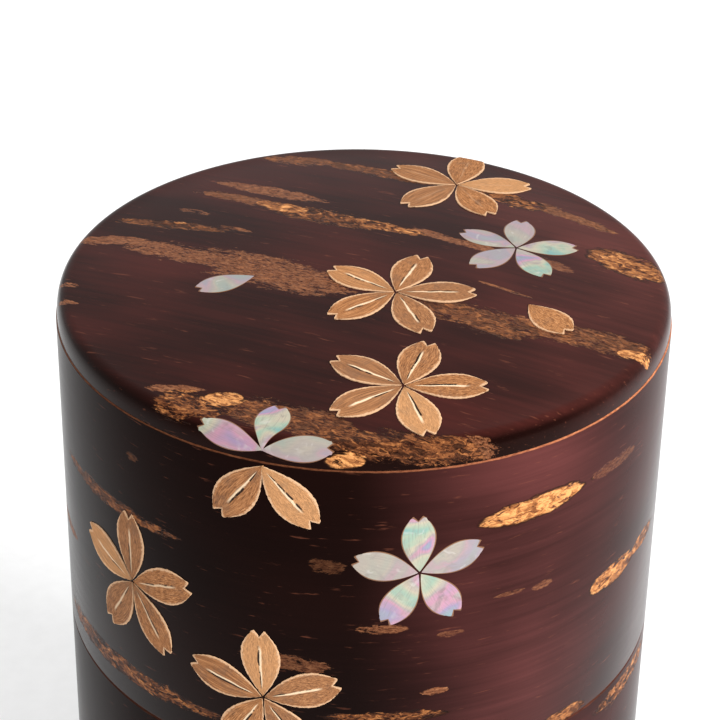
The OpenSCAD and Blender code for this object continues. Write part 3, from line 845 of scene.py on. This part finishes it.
def turn_on_lathe(name, section, closed=True, segments=256, bevel=0.0, bevel_steps=3):
    """The section's corners are radius and height. A radius of 0 at an end closes it on the axis."""
    nothing_selected()
    start_pole, end_pole = section[0][0] == 0, section[-1][0] == 0
    pole_r = 0.1 * MM
    corners = [(r if r > 0 else pole_r, z) for r, z in section]
    first_r, first_z = corners[0]
    bpy.ops.mesh.primitive_circle_add(vertices=segments, radius=first_r, location=(0, 0, 0))
    piece = bpy.context.object
    piece.name = piece.data.name = name
    bpy.ops.object.mode_set(mode="EDIT")
    bpy.ops.mesh.select_all(action="SELECT")
    bpy.ops.transform.translate(value=(0, 0, first_z))
    path = corners + ([corners[0]] if closed else [])
    for (r0, z0), (r1, z1) in zip(path, path[1:]):
        bpy.ops.mesh.extrude_edges_move(TRANSFORM_OT_translate={"value": (0, 0, z1 - z0)})
        bpy.ops.transform.resize(value=(r1 / r0, r1 / r0, 1), center_override=(0, 0, z1))
    if end_pole:
        bpy.ops.mesh.merge(type="CENTER")
    if start_pole:
        select_where(lambda co: math.hypot(co.x, co.y) < 1.1 * pole_r and abs(co.z - first_z) < 1e-6)
        bpy.ops.mesh.merge(type="CENTER")
    bpy.ops.mesh.select_all(action="SELECT")
    bpy.ops.mesh.remove_doubles(threshold=1e-6)
    bpy.ops.mesh.normals_make_consistent(inside=False)
    bpy.ops.object.mode_set(mode="OBJECT")
    if bevel:
        corner = math.radians(30)
        apply_modifier(
            piece, "BEVEL", width=bevel, segments=bevel_steps, limit_method="ANGLE", angle_limit=corner
        )
    bpy.ops.object.shade_smooth_by_angle(angle=math.radians(35))
    return piece


def dress(piece, material, body, slot, *nodes):
    piece.data.materials.clear()
    piece.data.materials.append(material)
    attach(piece, body)
    if nodes:
        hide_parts(*nodes)
    print("made", piece.name, len(piece.data.polygons), "faces")
    return piece


def tube_section(node, wall):
    outer, low, high = radius_of(node), foot_of(node), top_of(node)
    return [(outer - wall, low), (outer, low), (outer, high), (outer - wall, high)]


bark_t, lining_t = 0.7 * MM, 0.5 * MM
print("lathe ready")

# %% [markdown]
# ## The side skins
#
# The body's and the lid's side skins are plain tubes of bark, softly rounded where
# they were rubbed after sawing. The rim at the lid's top keeps a narrower rounding,
# because its cut edge is the thin orange line that everybody notices.

# %% Side skins of body and lid
body_skin = turn_on_lathe("body_side_bark", tube_section("body_bark", bark_t), bevel=0.32 * MM)
dress(body_skin, bark_wall, "caddy", "polished_bark", "body_bark")
lid_skin = turn_on_lathe("lid_side_bark", tube_section("lid_bark", bark_t), bevel=0.24 * MM)
dress(lid_skin, bark_wall, "lid", "polished_bark", "lid_bark")

# %% [markdown]
# ## The crown
#
# The top sheet climbs steeply from the rim, turns over a tight shoulder and then
# runs as a shallow bow to the middle. Seen in section the shoulder is a quarter of a
# squared-off ellipse, so the section's corners come from that curve and the bow,
# and the lathe does the rest.

# %% Crown skin
foot_r, crown_r = radius_of("lid_top_bark"), case_r - 0.15 * MM
shoulder_w, shoulder_h, squareness = 2.2 * MM, SHOULDER_H * MM, 3.0
cap_r = crown_r - shoulder_w
cap_rise = crown_top - rim_z - shoulder_h


def crown_height(r):
    if r <= cap_r:
        return rim_z + shoulder_h + cap_rise * (1 - (r / cap_r) ** 2)
    return rim_z + shoulder_h * max(0.0, 1 - ((r - cap_r) / shoulder_w) ** squareness) ** (1 / squareness)


foot = [(foot_r, foot_of("lid_top_bark")), (foot_r, rim_z)]
steps = [math.sin(math.radians(a)) ** (2 / squareness) for a in range(88, -1, -4)]
shoulder = [(cap_r + shoulder_w * u, crown_height(cap_r + shoulder_w * u)) for u in steps]
cap = [(cap_r * (1 - i / 16), crown_height(cap_r * (1 - i / 16))) for i in range(1, 16)]
section = foot + [(crown_r, rim_z + 0.05 * MM)] + shoulder + cap + [(0, crown_top)]
crown_skin = turn_on_lathe("lid_crown_bark", section, closed=False)
bpy.ops.object.mode_set(mode="EDIT")
bpy.ops.mesh.select_all(action="SELECT")
bpy.ops.mesh.normals_make_consistent(inside=False)
bpy.ops.object.mode_set(mode="OBJECT")
apply_modifier(crown_skin, "SOLIDIFY", thickness=bark_t * 0.9, offset=-1.0)
bpy.ops.object.shade_smooth_by_angle(angle=math.radians(35))
dress(crown_skin, bark_crown, "lid", "polished_bark", "lid_top_bark")

# %% [markdown]
# ## Linings, neck and boards
#
# Inside, the caddy is as carefully faced as outside: the sleeve's neck, which the lid
# slides on, the linings of sleeve and lid, and the discs on the floor, under the base
# and under the lid's board. They are short work for the lathe.

# %% Neck, linings and discs
def tube(name, node, material, body, slot, bevel=0.12 * MM):
    piece = turn_on_lathe(name, tube_section(node, lining_t), bevel=bevel)
    return dress(piece, material, body, slot, node)


tube("neck_facing", "neck_bark", bark_neck, "caddy", "polished_bark", bevel=0.14 * MM)
tube("sleeve_inside_facing", "sleeve_lining", bark_lining, "caddy", "lining_bark")
tube("lid_inside_facing", "lid_lining", bark_lining, "lid", "lining_bark")


def disc_section(node):
    r, low, high = radius_of(node), foot_of(node), top_of(node)
    return [(0, low), (r, low), (r, high), (0, high)]


def disc(name, node, material, body, slot, bevel=0.15 * MM):
    piece = turn_on_lathe(name, disc_section(node), closed=False, segments=192, bevel=bevel)
    return dress(piece, material, body, slot, node)


disc("base_underside_facing", "base_bark", bark_disc, "caddy", "polished_bark")
disc("tea_floor_facing", "floor_bark", bark_disc_plain, "caddy", "lining_bark")
disc("lid_ceiling_facing", "lid_ceiling_bark", bark_disc_plain, "lid", "lining_bark")

# %% [markdown]
# ## The inner lid
#
# A flat inner lid keeps the tea from the air. It is faced above and below, has a
# thin strip round its edge, and a small turned knob to lift it by. The knob has a
# foot, a waist for two fingertips and a soft button top. Its section is given as
# shares of its radius and height, and smooth shading rounds it.

# %% Inner lid
disc("inner_lid_top_facing", "inner_lid_top_bark", bark_disc, "inner_lid", "polished_bark", bevel=0.2 * MM)
disc("inner_lid_under_facing", "inner_lid_under_bark", bark_disc_plain, "inner_lid", "lining_bark")
tube("inner_lid_edge_strip", "inner_lid_edge", bark_neck, "inner_lid", "polished_bark")

knob_r, knob_low = radius_of("inner_lid_knob"), foot_of("inner_lid_knob")
knob_h = top_of("inner_lid_knob") - knob_low
knob_foot = [(0, 0.0), (0.60, 0.0), (0.62, 0.02), (0.62, 0.09), (0.55, 0.15)]
knob_waist = [(0.49, 0.24), (0.48, 0.32), (0.53, 0.42), (0.68, 0.51), (0.86, 0.59)]
knob_button = [(0.97, 0.67), (1.0, 0.74), (0.98, 0.82), (0.90, 0.90), (0.74, 0.96), (0.45, 0.99)]
knob_shares = knob_foot + knob_waist + knob_button + [(0.2, 1.0), (0, 1.0)]
knob_section = [(r * knob_r, knob_low + z * knob_h) for r, z in knob_shares]
knob = turn_on_lathe("inner_lid_knob_turned", knob_section, closed=False, segments=96)
bpy.ops.object.shade_smooth()
dress(knob, bark_disc, "inner_lid", "polished_bark", "inner_lid_knob")

# %% [markdown]
# ## Wood under the bark
#
# The tubes, boards and the knob's dowel stay as the working model has them. They only
# take the pale wood.

# %% Core wood on the working parts
WOODEN = ["body_core", "sleeve_core", "base_board", "lid_core"]
WOODEN += ["lid_top_board", "inner_lid_board", "knob_dowel"]
for node in WOODEN:
    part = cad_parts[node]
    part.data.materials.clear()
    part.data.materials.append(core_wood)
print("core wood on", len(WOODEN), "parts")

# %% [markdown]
# ## One petal to copy
#
# A cherry petal is narrow at its base, widest past the middle and notched at its tip.
# We add a fine grid, squeeze each of its columns to the petal's width there, and
# then pull the end of each row back to cut the notch. The grid's UV map is made
# while it is still square, which is what lets the fibres gather at the base. Bark
# tears a little when it is punched, so the rough petal's edge is shaken by a hair.

# %% Master petals
PETAL_L, PETAL_W, COLUMNS, ROWS = 10 * MM, 4.7 * MM, 36, 16
NOTCH_SHARE, CORNER_BACK = 0.62, 0.45 * MM


def petal_half(t, width):
    return width / 2 * math.sin(math.pi * (0.90 * t) ** 1.12) ** 0.8


def master_petal(name, width, notch, shake):
    nothing_selected()
    bpy.ops.mesh.primitive_grid_add(x_subdivisions=COLUMNS, y_subdivisions=ROWS, size=1.0, calc_uvs=True)
    petal = bpy.context.object
    petal.name = petal.data.name = name
    bpy.ops.object.mode_set(mode="EDIT")
    bpy.ops.transform.resize(value=(PETAL_L, width, 1), center_override=(0, 0, 0))
    bpy.ops.transform.translate(value=(PETAL_L / 2, 0, 0))
    for column in range(COLUMNS + 1):
        x = PETAL_L * column / COLUMNS
        select_where(lambda co: abs(co.x - x) < 1e-6)
        k = max(petal_half(column / COLUMNS, width), 0.03 * MM) / (width / 2)
        bpy.ops.transform.resize(value=(1, k, 1), center_override=(x, 0, 0))
    fixed = 0.7 * PETAL_L
    for row in range(ROWS + 1):
        v = abs(2 * row / ROWS - 1)
        tip = PETAL_L - notch * max(0.0, 1 - v / NOTCH_SHARE) - CORNER_BACK * max(0.0, v - 0.6) ** 2 / 0.16
        mesh = bmesh.from_edit_mesh(petal.data)
        for vert in mesh.verts:
            wide = petal_half(min(vert.co.x / PETAL_L, 1.0), width)
            vert.select_set(vert.co.x > fixed and abs(vert.co.y - (2 * row / ROWS - 1) * wide) < 0.01 * MM)
        mesh.select_flush_mode()
        shrink = (tip - fixed) / (PETAL_L - fixed)
        bpy.ops.transform.resize(value=(shrink, 1, 1), center_override=(fixed, 0, 0))
    if shake:
        bpy.ops.mesh.select_all(action="SELECT")
        bpy.ops.mesh.region_to_loop()
        bpy.ops.transform.vertex_random(offset=shake, seed=7)
        mesh = bmesh.from_edit_mesh(petal.data)
        for vert in mesh.verts:
            vert.co.z = 0.0
    bpy.ops.object.mode_set(mode="OBJECT")
    print("master", name, [round(d / MM, 2) for d in petal.dimensions])
    return petal


bark_master = master_petal("bark_petal_master", PETAL_W, notch=0.95 * MM, shake=0.07 * MM)
pearl_master = master_petal("pearl_petal_master", PETAL_W, notch=0.85 * MM, shake=0.0)

# %% [markdown]
# ## Where each petal lies
#
# The working model already has every petal in its place as a plain plate. We take a
# copy of a flower, part it into its petals, and read from each plate where its base
# and tip are. A petal faces the way the skin under it faces, and its length lies
# where its points are spread most. The narrow end is the base.

# %% Read the working petals
def petal_places(node, skin):
    nothing_selected()
    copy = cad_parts[node].copy()
    copy.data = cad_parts[node].data.copy()
    bpy.context.scene.collection.objects.link(copy)
    copy.hide_set(False)
    copy.select_set(True)
    bpy.context.view_layer.objects.active = copy
    bpy.ops.object.mode_set(mode="EDIT")
    bpy.ops.mesh.select_all(action="SELECT")
    bpy.ops.mesh.remove_doubles(threshold=1e-6)
    bpy.ops.mesh.separate(type="LOOSE")
    bpy.ops.object.mode_set(mode="OBJECT")
    places = []
    for plate in list(bpy.context.selected_objects):
        points = np.array([v.co for v in plate.data.vertices])
        middle = (points.min(0) + points.max(0)) / 2
        normal = Vector((0, 0, 0))
        out = Vector(middle) - Vector((0, 0, 0.6 * rim_z))
        for point in points[::3]:
            facing = skin.closest_point_on_mesh(Vector(point))[2]
            normal += facing if facing.dot(out) > 0 else -facing
        normal.normalize()
        along = Vector(np.linalg.eigh(np.cov((points - points.mean(0)).T))[1][:, 2])
        along = (along - normal * along.dot(normal)).normalized()
        across = normal.cross(along)
        run = (points - middle) @ np.array(along)
        spread = (points - middle) @ np.array(across)
        reach = run.max() - run.min()
        near_end, far_end = run < run.min() + 0.12 * reach, run > run.max() - 0.12 * reach
        if np.ptp(spread[near_end]) > np.ptp(spread[far_end]):
            along, run = -along, -run
        base = middle + np.array(along) * run.min() + np.array(across) * spread[run.argmin()]
        across = normal.cross(along)
        places.append((Vector(base), along.copy(), across, normal, reach, np.ptp(spread)))
        bpy.data.objects.remove(plate, do_unlink=True)
    return places


# %% [markdown]
# ## Laying the petals
#
# Each petal is a copy of the master, sized to its place and held just off the skin.
# A shrinkwrap presses it down along its own facing, so it takes the curve of the
# wall or the crown, and a solidify gives it its thickness, half sunk in the skin. A
# fine bevel breaks the upper edge. The petals of one flower are then joined.

# %% Lay every flower
FULLER, START_HIGH = 1.1, 2.5 * MM


def lay_petal(master, place, skin, numbers, closer, longer):
    base, along, across, normal, length, width = place
    proud, thickness, bevel = (0.14, 0.35, 0.035) if master is bark_master else (0.03, 0.25, 0.015)
    nothing_selected()
    petal = master.copy()
    petal.data = master.data.copy()
    bpy.context.scene.collection.objects.link(petal)
    petal.select_set(True)
    bpy.context.view_layer.objects.active = petal
    turn = Matrix((along, across, normal)).transposed().to_4x4()
    long_fit = (length + (closer + longer) * MM) / PETAL_L
    fit = Matrix.Diagonal((long_fit, FULLER * width / master.dimensions.y, 1, 1))
    start = base - along * closer * MM + normal * START_HIGH
    petal.matrix_world = Matrix.Translation(start) @ turn @ fit
    for label, number in numbers.items():
        values = petal.data.attributes.new(label, "FLOAT", "POINT").data
        values.foreach_set("value", [number] * len(values))
    apply_modifier(
        petal,
        "SHRINKWRAP",
        target=skin,
        wrap_method="PROJECT",
        use_project_z=True,
        use_negative_direction=True,
        use_positive_direction=False,
        wrap_mode="ABOVE_SURFACE",
        offset=(proud - thickness / 2) * MM,
    )
    bpy.ops.object.transform_apply(location=True, rotation=True, scale=True)
    apply_modifier(petal, "SOLIDIFY", thickness=thickness * MM, offset=0.0, use_even_offset=True)
    edge = math.radians(50)
    apply_modifier(petal, "BEVEL", width=bevel * MM, segments=2, limit_method="ANGLE", angle_limit=edge)
    return petal


def lay_flower(name, node, master, skin, material, body, slot, slit, closer, longer):
    petals = []
    for i, place in enumerate(petal_places(node, skin)):
        numbers = {"luck": (0.37 + 0.618 * (i + len(name))) % 1.0, "slit": slit}
        petals.append(lay_petal(master, place, skin, numbers, closer, longer))
    nothing_selected()
    for petal in petals:
        petal.select_set(True)
    bpy.context.view_layer.objects.active = petals[0]
    if len(petals) > 1:
        bpy.ops.object.join()
    flower = bpy.context.object
    flower.name = flower.data.name = name
    bpy.ops.object.shade_smooth_by_angle(angle=math.radians(40))
    return dress(flower, material, body, slot, node)


BARK, PEARL = (bark_master, rough_bark, "rough_bark"), (pearl_master, pearl, "mother_of_pearl")
for name, node, (master, material, slot), skin, body, slit, closer, longer in (
    ("blossom_crown_front", "flower_crown_front", BARK, crown_skin, "lid", 1.0, 0.3, 0.0),
    ("blossom_crown_middle", "flower_crown_middle", BARK, crown_skin, "lid", 0.9, 0.3, 0.1),
    ("blossom_crown_back", "flower_crown_back", BARK, crown_skin, "lid", 0.1, 0.3, 0.4),
    ("loose_bark_petal", "bark_petal_crown", BARK, crown_skin, "lid", 0.0, 0.1, 0.0),
    ("pearl_blossom_crown", "pearl_flower_crown", PEARL, crown_skin, "lid", 0.0, 0.35, 0.3),
    ("loose_pearl_petal", "pearl_petal_crown", PEARL, crown_skin, "lid", 0.0, 0.3, 0.2),
    ("split_blossom_pearl", "pearl_petals_rim", PEARL, crown_skin, "lid", 0.0, 0.7, 0.1),
    ("split_blossom_bark", "bark_petals_rim", BARK, lid_skin, "lid", 1.0, 0.65, 0.5),
    ("blossom_side_left", "flower_side_left", BARK, lid_skin, "lid", 0.7, 0.3, 0.1),
    ("blossom_side_low", "flower_side_low", BARK, lid_skin, "lid", 1.0, 0.3, 0.0),
    ("pearl_blossom_side", "pearl_flower_side", PEARL, lid_skin, "lid", 0.0, 0.35, 0.3),
    ("blossom_body", "flower_body", BARK, body_skin, "caddy", 0.9, 0.3, 0.0),
    ("pearl_blossom_body", "pearl_flower_body", PEARL, body_skin, "caddy", 0.0, 0.35, 0.3),
    ("loose_petal_body", "bark_petal_body", BARK, body_skin, "caddy", 0.0, 0.1, 0.0),
):
    lay_flower(name, node, master, skin, material, body, slot, slit, closer, longer)
for master in (bark_master, pearl_master):
    bpy.data.objects.remove(master, do_unlink=True)

# %% [markdown]
# ## Floor, light and camera
#
# Polished bark is a mirror for its surroundings, so the studio matters as much as
# the material. A pale floor and a pale sky give the grey sheen on both flanks and
# along the far edge, and a large soft lamp at the front right brings out the petals.
# The lamps don't show in the polish, so they leave no hot spots. The Standard view
# keeps the dark bark as deep as it is. The camera looks down at about thirty degrees
# with a long lens.

# %% Stage
nothing_selected()
bpy.ops.mesh.primitive_plane_add(size=6.0, location=(0, 0, 0))
floor = bpy.context.object
floor.name = "studio_floor"
floor_paper, tree, shader, place = new_material("floor_paper", rough=0.9)
paper = noise(tree, vectors(tree, "MULTIPLY", place.outputs["Object"], (300.0, 300.0, 300.0)), 1.0, 3.0)
paper = ramp(tree, paper, [(0.3, (0.86, 0.86, 0.86)), (0.7, (0.89, 0.89, 0.89))])
tree.links.new(paper, shader.inputs["Base Color"])
floor.data.materials.append(floor_paper)

world = bpy.data.worlds.new("soft_studio")
bpy.context.scene.world = world
world.use_nodes = True
world.node_tree.nodes["Background"].inputs["Color"].default_value = (1.0, 1.0, 1.0, 1)
world.node_tree.nodes["Background"].inputs["Strength"].default_value = 0.80
bpy.context.scene.view_settings.view_transform = "Standard"


def soft_lamp(name, place, target, size, power):
    data = bpy.data.lights.new(name, "AREA")
    data.shape, data.size, data.energy = "DISK", size, power
    lamp = bpy.data.objects.new(name, data)
    bpy.context.scene.collection.objects.link(lamp)
    lamp.location = place
    lamp.visible_glossy = False
    lamp.rotation_euler = (Vector(target) - Vector(place)).to_track_quat("-Z", "Y").to_euler()
    return lamp


soft_lamp("key_front_right", (0.50, -0.42, 0.50), (0, 0, 0.09), 0.35, 8)
soft_lamp("fill_behind_left", (-0.45, 0.55, 0.60), (0, 0, 0.11), 0.5, 3)

camera_data = bpy.data.cameras.new("camera")
camera_data.lens, camera_data.sensor_width = 121.5, 36.0
camera = bpy.data.objects.new("camera", camera_data)
bpy.context.scene.collection.objects.link(camera)
camera.location = (0, -0.2758, rim_z + 0.157)
camera.rotation_euler = (math.radians(58.98), math.radians(-0.82), math.radians(0.58))
bpy.context.scene.camera = camera
print("stage set")
